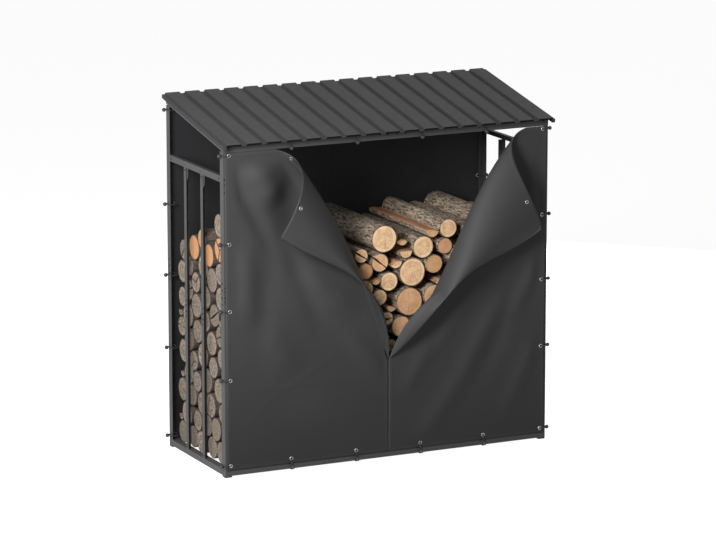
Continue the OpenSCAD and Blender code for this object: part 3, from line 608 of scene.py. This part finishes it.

# Back cover: one piece of the same fabric, joined down its middle by a lapped seam. Its colour is darker
# than the front's, as painted shade for the deep inside of the store.
# It is laced all round to the back posts, the back beam and the back base rail.
back_plane = y_back + 0.0015
back_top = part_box("back_cover")[1][2]
back_half = x_side - cover_in
back_folds = (
    (0.13, 1.43, 0.25, 1.27, 0.070, -0.006), (0.55, 1.30, 0.64, 1.39, 0.050, -0.006),
    (0.47, 1.20, 0.56, 1.32, 0.030, 0.006), (-0.40, 1.30, -0.60, 0.90, 0.080, 0.010),
    (0.30, 0.90, 0.55, 0.40, 0.080, 0.012), (-0.70, 0.60, -0.35, 0.25, 0.070, 0.010),
    (-0.80, 0.89, 0.80, 0.87, 0.012, 0.0018), (-0.80, 0.45, 0.80, 0.47, 0.012, 0.0018),
)
columns = 150
rows = 130
places = []
flats = []
for r in range(rows):
    z = back_top + (cover_foot - back_top) * r / (rows - 1)
    for c in range(columns):
        x = -back_half + 2 * back_half * c / (columns - 1)
        places.append((x, back_plane, z))
        flats.append((x, z))
flats = np.array(flats)
lift = fold_depth(back_folds, flats[:, 0], flats[:, 1])
lift *= smooth_step(0.03, 0.10, back_half - np.abs(flats[:, 0]))
lift *= smooth_step(0.045, 0.12, flats[:, 1])
lift *= smooth_step(0.02, 0.10, back_top - flats[:, 1])
faces = grid_faces(rows, columns)
faces = [face[::-1] for face in faces]
# Painted shade: this tone is far darker than the front cover's, standing in for the shade inside the
# store.
back_fabric_painted_shade = cover_fabric("Back cover fabric", (0.013, 0.013, 0.014, 1), 2 * back_half,
                           back_top - cover_foot, back_half)
cloth, places = hang_cloth("back_cover_fabric", np.array(places), flats, faces, -lift,
                           (-back_half, cover_foot), back_fabric_painted_shade)
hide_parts("back_cover")
shapes = []
for z in (0.058, 0.515, 0.888, 1.250, 1.728):
    for side in (-1, 1):
        shapes += both_sides((side * (x_side - 0.030), back_plane, z), (0, 1, 0))
for x in lace_x:
    for z in (0.060, back_top - 0.014):
        shapes += both_sides((x, back_plane, z), (0, 1, 0))
points, faces = join_shapes(shapes)
add_piece("back_cover_eyelets", points, faces, [eyelet_steel])

# Lacing: loops of black elastic cord through the eyelets and round the steel.
# A hard plastic ball on the outside of each loop keeps it closed.
elastic, tree, shader = new_material("Elastic cord")
place = put(tree, "TexCoord").outputs["Object"]
braid = put(tree, "TexVoronoi", Vector=place, Scale=520.0)
shader.inputs["Base Color"].default_value = (0.010, 0.010, 0.011, 1)
tree.links.new(remap(tree, braid.outputs["Distance"], 0.45, 0.8), shader.inputs["Roughness"])
bumped = put(tree, "Bump", Height=braid.outputs["Distance"], Strength=0.4, Distance=0.0005)
tree.links.new(bumped.outputs["Normal"], shader.inputs["Normal"])
paint(elastic, "lacing_front_left", "lacing_front_right", "lacing_front_bottom",
      "lacing_front_top", "lacing_back_left", "lacing_back_right", "lacing_back_bottom",
      "lacing_back_top")


# End stack: short logs that lie across the store behind the left side bars. Their ends have
# weathered to a greyish beige; the split ones near the top show fresh orange wood.
def log_material(name, group, **sockets):
    made, tree, shader = new_material(name)
    wood = use_group(tree, group, **sockets)
    tree.links.new(wood["Color"], shader.inputs["Base Color"])
    tree.links.new(wood["Roughness"], shader.inputs["Roughness"])
    bumped = put(tree, "Bump", Height=wood["Height"], Strength=0.8, Distance=0.002)
    tree.links.new(bumped.outputs["Normal"], shader.inputs["Normal"])
    return made


def mix(tree, how, factor, first, second):
    node = tree.nodes.new("ShaderNodeMix")
    node.data_type = "RGBA"
    node.blend_type = how
    for index, value in ((0, factor), (6, first), (7, second)):
        if isinstance(value, bpy.types.NodeSocket):
            tree.links.new(value, node.inputs[index])
        else:
            node.inputs[index].default_value = value
    return node.outputs[2]


def own_grain(tree, stretch):
    """A log's own coordinates (across, along, up from its heart), moved on by its number."""
    heart = put(tree, "Attribute", {"attribute_name": "heart"}).outputs["Vector"]
    number = put(tree, "Attribute", {"attribute_name": "log_number"}).outputs["Fac"]
    scaled = put(tree, "VectorMath", {"operation": "MULTIPLY"}, Vector=heart)
    scaled.inputs[1].default_value = stretch
    moved = put(tree, "VectorMath", {"operation": "ADD"}, Vector=scaled.outputs["Vector"])
    tree.links.new(number, moved.inputs[1])
    return heart, moved.outputs["Vector"]


bark, given, result = start_group(
    "Bark", {"Dark": "Color", "Light": "Color"},
    {"Color": "Color", "Roughness": "Float", "Height": "Float"})
heart, grown = own_grain(bark, (90.0, 22.0, 90.0))
furrows = put(bark, "TexNoise", Vector=grown, Scale=1.3, Detail=4.0, Roughness=0.55, Distortion=0.6)
rough = put(bark, "TexNoise", Vector=grown, Scale=5.0, Detail=8.0, Roughness=0.7)
moss = put(bark, "TexNoise", Vector=grown, Scale=0.16, Detail=4.0)
crack = ease(bark, furrows.outputs["Fac"], 0.38, 0.62, curve="LINEAR")
ridge = calculate(bark, "MULTIPLY", crack, rough.outputs["Fac"])
colour = mix(bark, "MIX", remap(bark, ridge, 0.0, 1.7), given["Dark"], given["Light"])
tone = put(bark, "Attribute", {"attribute_name": "log_tone"}).outputs["Fac"]
shade = calculate(bark, "ADD", remap(bark, tone, 0.75, 1.2), remap(bark, moss.outputs["Fac"], -0.3, 0.3))
toned = put(bark, "HueSaturation", Value=shade, Color=colour)
bark.links.new(toned.outputs["Color"], result["Color"])
bark.links.new(remap(bark, rough.outputs["Fac"], 0.75, 0.95), result["Roughness"])
bark.links.new(calculate(bark, "ADD", crack, rough.outputs["Fac"]), result["Height"])

rings, given, result = start_group(
    "Cut end", {"Pale": "Color", "Ring": "Color", "Old": "Color", "Rind": "Color",
                "Grain": "Float", "Grit": "Float"},
    {"Color": "Color", "Roughness": "Float", "Height": "Float"})
heart, grown = own_grain(rings, (30.0, 30.0, 30.0))
wobble = put(rings, "TexNoise", Vector=grown, Scale=0.6, Detail=3.0)
flat_heart = put(rings, "VectorMath", {"operation": "MULTIPLY"}, Vector=heart)
flat_heart.inputs[1].default_value = (1, 0, 1)
radius = put(rings, "VectorMath", {"operation": "LENGTH"}, Vector=flat_heart.outputs["Vector"])
bent = calculate(rings, "ADD", radius.outputs["Value"], calculate(
    rings, "MULTIPLY", wobble.outputs["Fac"], 0.006))
year = calculate(rings, "SINE", calculate(rings, "MULTIPLY", bent, 1500.0), 0.0)
share = put(rings, "Attribute", {"attribute_name": "rim_share"}).outputs["Fac"]
tone = put(rings, "Attribute", {"attribute_name": "log_tone"}).outputs["Fac"]
pores = put(rings, "TexNoise", Vector=grown, Scale=given["Grain"], Detail=6.0)
stain = put(rings, "TexNoise", Vector=grown, Scale=0.9, Detail=6.0, Roughness=0.6)
base = mix(rings, "MIX", tone, given["Pale"], given["Old"])
slow = put(rings, "TexNoise", {"noise_dimensions": "1D"}, W=calculate(
    rings, "ADD", calculate(rings, "MULTIPLY", bent, 130.0), tone), Scale=1.0, Detail=2.0)
grown_in = ease(rings, slow.outputs["Fac"], 0.35, 0.7, 0.0, 0.55, "LINEAR")
ringed = mix(rings, "MIX", grown_in, base, given["Ring"])
yearly = calculate(rings, "MULTIPLY", remap(rings, year, 0.0, 1.0), 0.22)
ringed = mix(rings, "MIX", yearly, ringed, given["Ring"])
uneven = calculate(rings, "ADD", share, remap(rings, wobble.outputs["Fac"], -0.22, 0.22))
core = ease(rings, uneven, 0.60, 0.70, 0.42, 0.0)
core_line = ease(rings, apart(rings, uneven, 0.66), 0.0, 0.06, 0.35, 0.0)
pith = ease(rings, uneven, 0.20, 0.34, 0.45, 0.0)
cored = mix(rings, "MIX", core, ringed, given["Ring"])
cored = mix(rings, "MIX", core_line, cored, given["Old"])
cored = mix(rings, "MIX", pith, cored, base)
stain_share = ease(rings, stain.outputs["Fac"], 0.45, 0.75, 0.0, 0.7, "LINEAR")
stained = mix(rings, "MIX", stain_share, cored, given["Old"])
flat_place = put(rings, "SeparateXYZ", Vector=heart)
bearing = calculate(rings, "ARCTAN2", flat_place.outputs["X"], flat_place.outputs["Z"])
splits = put(rings, "TexNoise", {"noise_dimensions": "1D"}, W=calculate(
    rings, "ADD", calculate(rings, "MULTIPLY", bearing, 1.7), calculate(rings, "MULTIPLY", tone, 31.0)),
    Scale=1.6, Detail=1.0)
check = ease(rings, apart(rings, splits.outputs["Fac"], 0.5), 0.0, 0.012, 0.75, 0.0, "LINEAR")
check = calculate(rings, "MULTIPLY", check, ease(rings, share, 0.75, 0.45, curve="LINEAR"))
checked = mix(rings, "MIX", check, stained, given["Rind"])
rind = ease(rings, share, 0.885, 0.915, curve="LINEAR")
barked = mix(rings, "MIX", rind, checked, given["Rind"])
gritty = ease(rings, pores.outputs["Fac"], 0.32, 0.68, calculate(rings, "SUBTRACT", 1.0, given["Grit"]),
              calculate(rings, "ADD", 1.0, given["Grit"]), "LINEAR")
speck = put(rings, "HueSaturation", Value=gritty, Color=barked)
rings.links.new(speck.outputs["Color"], result["Color"])
result["Roughness"].default_value = 0.8
height = calculate(rings, "ADD", pores.outputs["Fac"], calculate(rings, "MULTIPLY", year, 0.12))
rings.links.new(height, result["Height"])

split, given, result = start_group(
    "Split wood", {"Fresh": "Color", "Fibre": "Color"},
    {"Color": "Color", "Roughness": "Float", "Height": "Float"})
heart, grown = own_grain(split, (60.0, 4.0, 60.0))
fibres = put(split, "TexNoise", Vector=grown, Scale=3.0, Detail=9.0, Roughness=0.65)
bands = put(split, "TexNoise", Vector=grown, Scale=0.5, Detail=3.0)
colour = mix(split, "MIX", fibres.outputs["Fac"], given["Fibre"], given["Fresh"])
shade = put(split, "HueSaturation", Value=remap(split, bands.outputs["Fac"], 0.6, 1.4), Color=colour)
split.links.new(shade.outputs["Color"], result["Color"])
result["Roughness"].default_value = 0.75
split.links.new(fibres.outputs["Fac"], result["Height"])

end_bark = log_material("End stack bark", bark, Dark=(0.020, 0.015, 0.011, 1),
                        Light=(0.08, 0.06, 0.045, 1))
end_cut = log_material("Weathered cut ends", rings, Pale=(0.235, 0.19, 0.15, 1),
                       Ring=(0.085, 0.064, 0.047, 1), Old=(0.125, 0.098, 0.076, 1),
                       Rind=(0.045, 0.033, 0.024, 1), Grain=3.5, Grit=0.65)
fresh_cut = log_material("Fresh cut ends", rings, Pale=(0.60, 0.335, 0.165, 1),
                         Ring=(0.40, 0.20, 0.09, 1), Old=(0.36, 0.17, 0.075, 1),
                         Rind=(0.12, 0.07, 0.04, 1), Grain=9.0, Grit=0.2)
end_split = log_material("End stack split wood", split, Fresh=(0.13, 0.085, 0.055, 1),
                         Fibre=(0.05, 0.033, 0.022, 1))


def front_outlines(node, axis):
    """The outline of each log in a CAD node: a list of (across, up) loops, with its two ends."""
    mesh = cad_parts[node].data
    points = np.array([tuple(v.co) for v in mesh.vertices])
    keys = {}
    ids = [keys.setdefault(tuple(np.round(p * 20000).astype(int)), len(keys)) for p in points]
    spots = np.zeros((len(keys), 3))
    for number, point in zip(ids, points):
        spots[number] = point
    owner = list(range(len(keys)))

    def find(i):
        while owner[i] != i:
            owner[i] = owner[owner[i]]
            i = owner[i]
        return i

    faces = [[ids[i] for i in poly.vertices] for poly in mesh.polygons]
    for face in faces:
        for i in face[1:]:
            owner[find(i)] = find(face[0])
    along = 1 if axis == "Y" else 0
    over = 0 if axis == "Y" else 1
    groups = {}
    for face in faces:
        groups.setdefault(find(face[0]), []).append(face)
    logs = []
    for members in groups.values():
        used = sorted({i for face in members for i in face})
        start = spots[used][:, along].min()
        end = spots[used][:, along].max()
        edges = {}
        for face in members:
            if all(abs(spots[i][along] - start) < 0.0005 for i in face):
                for a, b in zip(face, face[1:] + face[:1]):
                    if (b, a) in edges:
                        del edges[(b, a)]
                    else:
                        edges[(a, b)] = True
        following = {a: b for a, b in edges}
        first = min(following)
        loop = [first]
        while following[loop[-1]] != first:
            loop.append(following[loop[-1]])
        logs.append((spots[loop][:, [over, 2]], start, end))
    return sorted(logs, key=lambda log: (round(log[0][:, 1].mean(), 4), log[0][:, 0].mean()))


def circle_of(points):
    """The circle through the round side of an outline."""
    matrix = np.column_stack((2 * points, np.ones(len(points))))
    x, y, rest = np.linalg.lstsq(matrix, (points ** 2).sum(axis=1), rcond=None)[0]
    return np.array((x, y)), math.sqrt(rest + x * x + y * y)


def resample(outline, step):
    """Even steps round the outline; gives places, outward normals, and whether each is split."""
    area = 0.5 * np.sum(outline[:, 0] * np.roll(outline[:, 1], -1)
                        - outline[:, 1] * np.roll(outline[:, 0], -1))
    if area < 0:
        outline = outline[::-1]
    sides = np.roll(outline, -1, axis=0) - outline
    lengths = np.hypot(sides[:, 0], sides[:, 1])
    longest = 0.0115
    round_side = lengths < longest
    if round_side.all():
        centre, radius = circle_of(outline)
    else:
        picked = round_side | np.roll(round_side, 1)
        centre, radius = circle_of(outline[picked])
    places = []
    normals = []
    cut = []
    for i, side in enumerate(sides):
        count = max(1, int(round(lengths[i] / step)))
        out = np.array((side[1], -side[0])) / max(lengths[i], 1e-9)
        before = sides[i - 1]
        out_before = np.array((before[1], -before[0])) / max(lengths[i - 1], 1e-9)
        for k in range(count):
            places.append(outline[i] + side * k / count)
            normals.append(out if k else (out + out_before) / max(np.linalg.norm(out + out_before), 0.3))
            cut.append(not round_side[i])
    return np.array(places), np.array(normals), np.array(cut), centre, radius


def hew(outline, cut, centre, radius, rng):
    """Splits the flat top of a half log down to a ridge, so that it becomes a wedge."""
    if not cut.any():
        return outline, cut
    top = outline[cut][:, 1]
    if np.ptp(top) > 0.002 or top.max() < outline[:, 1].max() - 0.002:
        return outline, cut
    ridge = centre[0] + radius * rng.uniform(-0.7, 0.7)
    slopes = rng.uniform(0.05, 0.6, 2)
    away = outline[:, 0] - ridge
    limit = top.max() - np.where(away < 0, -away * slopes[0], away * slopes[1])
    low = centre[1] - 0.3 * radius
    limit = np.maximum(limit, low)
    lowered = outline[:, 1] > limit + 1e-6
    outline = np.column_stack((outline[:, 0], np.minimum(outline[:, 1], limit)))
    return outline, cut | lowered


def pile_of_logs(name, node, axis, materials, tones, step):
    """Rebuilds the logs of a CAD node with rough bark, cut ends and split faces."""
    points = []
    faces = []
    kinds = []
    heart = []
    number = []
    tone = []
    share = []
    for index, (outline, start, end) in enumerate(front_outlines(node, axis)):
        places, normals, cut, centre, radius = resample(outline, step)
        seed = (abs(hash_spot(centre)) % 997) / 10.0
        rng = np.random.default_rng(int(seed * 10))
        own_tone = tones(centre, rng)
        places, cut = hew(places, cut, centre, radius, rng)
        count = len(places)
        stations = max(4, int((end - start) / 0.045))
        phase = rng.uniform(0, 6.28, 8)
        waves = rng.integers(2, 9, 4)
        angles = np.arctan2(places[:, 1] - centre[1], places[:, 0] - centre[0])
        base = len(points)
        rows = []
        for k in range(stations + 1):
            t = k / stations
            dip = 0.42 + 0.16 * np.sin(waves[0] * angles + phase[0] + 2.2 * t)
            dip += 0.12 * np.sin(waves[1] * angles + phase[1] - 3.5 * t)
            dip += 0.20 * np.sin(2.0 * angles + phase[2] + 0.8 * t) + 0.10 * rng.random(count)
            hewn = 0.0016 + 0.0012 * np.sin(9 * t + phase[3]) + 0.0012 * rng.random(count)
            hewn += 0.0014 * np.sin(70 * places[:, 0] + phase[4])
            depth = np.where(cut, np.clip(hewn, 0.0003, 0.006), 0.085 * radius * np.clip(dip, 0, 1))
            depth += 0.0006 if k in (0, stations) else 0
            rows.append(places - normals * depth[:, None])
        for k, row in enumerate(rows):
            along = start + (end - start) * k / stations
            for spot in row:
                points.append(spot_of(axis, spot, along))
                heart.append((spot[0] - centre[0], along, spot[1] - centre[1]))
                share.append(np.hypot(*(spot - centre)) / radius)
        for k in range(stations):
            for i in range(count):
                j = (i + 1) % count
                a = base + k * count
                faces.append((a + i, a + j, a + count + j, a + count + i))
                kinds.append(2 if cut[i] else 0)
        for row, along, back in ((rows[0], start, False), (rows[-1], end, True)):
            middle = row.mean(axis=0)
            cap = len(points)
            for scale in (1.0, 0.6, 0.25):
                for spot in middle + (row - middle) * scale:
                    points.append(spot_of(axis, spot, along))
                    heart.append((spot[0] - centre[0], along, spot[1] - centre[1]))
                    share.append(np.hypot(*(spot - centre)) / radius)
            for ring in range(2):
                for i in range(count):
                    j = (i + 1) % count
                    a = cap + ring * count
                    quad = (a + i, a + count + i, a + count + j, a + j)
                    faces.append(quad[::-1] if back else quad)
                    kinds.append(3 if own_tone > 1 else 1)
            inner = tuple(range(cap + 2 * count, cap + 3 * count))
            faces.append(inner if back else inner[::-1])
            kinds.append(3 if own_tone > 1 else 1)
        added = len(points) - base
        number += [seed] * added
        tone += [own_tone] * added
    pile = add_piece(name, points, faces, materials)
    mesh = pile.data
    mesh.polygons.foreach_set("material_index", kinds)
    mesh.polygons.foreach_set("use_smooth", [kind == 0 for kind in kinds])
    mesh.attributes.new("heart", "FLOAT_VECTOR", "POINT").data.foreach_set(
        "vector", np.array(heart, dtype=np.float32).ravel())
    for title, values in (("log_number", number), ("log_tone", tone), ("rim_share", share)):
        mesh.attributes.new(title, "FLOAT", "POINT").data.foreach_set("value", values)
    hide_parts(node)
    return pile


def hash_spot(centre):
    return int(round(centre[0] * 1000)) * 31 + int(round(centre[1] * 1000)) * 17


def spot_of(axis, spot, along):
    return (spot[0], along, spot[1]) if axis == "Y" else (along, spot[0], spot[1])


# The freshly cut logs of the end stack: how far behind the front of the store, and height.
fresh_logs = ((0.336, 1.133), (0.132, 1.116), (0.435, 1.073), (0.245, 1.069))


def end_tone(centre, rng):
    tone = float(rng.uniform(0.0, 1.0))
    for behind, z in fresh_logs:
        if math.hypot(centre[0] - y_front - behind, centre[1] - z) < 0.04:
            return 1.1
    return tone


for part in ("lower", "middle", "upper"):
    pile_of_logs(f"end_stack_{part}", f"end_logs_{part}", "X",
                 [end_bark, end_cut, end_split, fresh_cut], end_tone, 0.009)

# Main stack: logs that lie front to back on the base ledges, thick and thin together.
# Their sawn ends are pale cream to orange-brown, and the bark is a dark grey-brown.
main_bark = log_material("Main stack bark", bark, Dark=(0.028, 0.022, 0.017, 1),
                         Light=(0.44, 0.34, 0.24, 1))
main_cut = log_material("Sawn ends", rings, Pale=(0.85, 0.63, 0.39, 1),
                        Ring=(0.60, 0.34, 0.17, 1), Old=(0.44, 0.21, 0.09, 1),
                        Rind=(0.10, 0.06, 0.035, 1), Grain=12.0, Grit=0.18)
main_split = log_material("Main stack split wood", split, Fresh=(0.50, 0.26, 0.13, 1),
                          Fibre=(0.22, 0.09, 0.045, 1))

# The logs that show through the opening: place from the middle of the store, height, and
# tone of the sawn end from pale to brown.
seen_tones = (
    (-0.011, 1.119, 0.02), (0.203, 1.079, 0.00), (0.342, 1.140, 0.15), (0.142, 0.952, 0.10),
    (0.262, 0.984, 0.85), (0.326, 1.050, 0.80), (0.015, 0.915, 0.05), (-0.038, 0.838, 0.10),
    (0.128, 0.792, 0.65), (-0.118, 0.964, 0.9), (-0.140, 1.042, 0.30), (0.080, 0.664, 0.5),
    (0.003, 0.712, 0.15), (0.024, 0.594, 0.25),
)


def main_tone(centre, rng):
    for x, z, tone in seen_tones:
        if math.hypot(centre[0] - x, centre[1] - z) < 0.035:
            return tone
    return float(rng.uniform(0.05, 0.75))


for part in ("bottom", "lower", "middle", "upper", "top"):
    pile_of_logs(f"main_stack_{part}", f"logs_{part}", "Y",
                 [main_bark, main_cut, main_split, fresh_cut], main_tone, 0.009)

# Studio: a plain pale floor and background, a soft key light from the front left, and weak
# lights on the left side and the back. The camera stands to the left of the front.
floor_mesh = bpy.data.meshes.new("studio_floor")
reach = 40.0
floor_mesh.from_pydata([(-reach, -reach, 0), (reach, -reach, 0), (reach, reach, 0), (-reach, reach, 0)],
                       [], [(0, 1, 2, 3)])
floor = bpy.data.objects.new("studio_floor", floor_mesh)
bpy.context.scene.collection.objects.link(floor)
floor_paint, tree, shader = new_material("Studio floor")
shader.inputs["Base Color"].default_value = (0.38, 0.38, 0.38, 1)
shader.inputs["Roughness"].default_value = 1.0
shader.inputs["Specular IOR Level"].default_value = 0.0


def seen_rays(tree):
    rays = put(tree, "LightPath")
    mirrored = calculate(tree, "MAXIMUM", rays.outputs["Is Glossy Ray"],
                         rays.outputs["Is Transmission Ray"])
    return calculate(tree, "MAXIMUM", rays.outputs["Is Camera Ray"], mirrored)


shader.inputs["Emission Color"].default_value = (1, 1, 1, 1)
tree.links.new(calculate(tree, "MULTIPLY", seen_rays(tree), 0.92), shader.inputs["Emission Strength"])
floor_mesh.materials.append(floor_paint)

world = bpy.data.worlds.new("Studio")
bpy.context.scene.world = world
world.use_nodes = True
tree = world.node_tree
tree.nodes.clear()
seen = put(tree, "Background", Color=(1, 1, 1, 1), Strength=1.0)
lit = put(tree, "Background", Color=(1, 1, 1, 1), Strength=0.11)
choice = put(tree, "MixShader")
tree.links.new(seen_rays(tree), choice.inputs[0])
tree.links.new(lit.outputs[0], choice.inputs[1])
tree.links.new(seen.outputs[0], choice.inputs[2])
out = put(tree, "OutputWorld")
tree.links.new(choice.outputs[0], out.inputs["Surface"])


def soft_light(name, place, target, size, power):
    data = bpy.data.lights.new(name, "AREA")
    data.shape = "SQUARE"
    data.size = size
    data.energy = power
    lamp = bpy.data.objects.new(name, data)
    lamp.location = place
    aim = Vector(target) - Vector(place)
    lamp.rotation_euler = aim.to_track_quat("-Z", "Y").to_euler()
    bpy.context.scene.collection.objects.link(lamp)
    return lamp


soft_light("key_light", (-3.6, -2.8, 2.9), (-0.1, -0.3, 0.8), 1.6, 405)
soft_light("left_light", (-4.6, 1.0, 2.0), (-0.9, 0, 0.8), 1.8, 60)
back_light = soft_light("back_light", (3.4, 3.6, 1.6), (0.3, 0.3, 0.8), 2.5, 260)
back_light.visible_glossy = False

camera_data = bpy.data.cameras.new("camera")
camera_data.lens = 193.2
camera_data.sensor_width = 36
camera_data.clip_end = 100
camera = bpy.data.objects.new("camera", camera_data)
camera.location = (-8.220, -16.983, 4.971)
camera.rotation_euler = (math.radians(90 - 12.156), 0, -math.radians(25.747))
bpy.context.scene.collection.objects.link(camera)
bpy.context.scene.camera = camera
bpy.context.scene.view_settings.view_transform = "Standard"
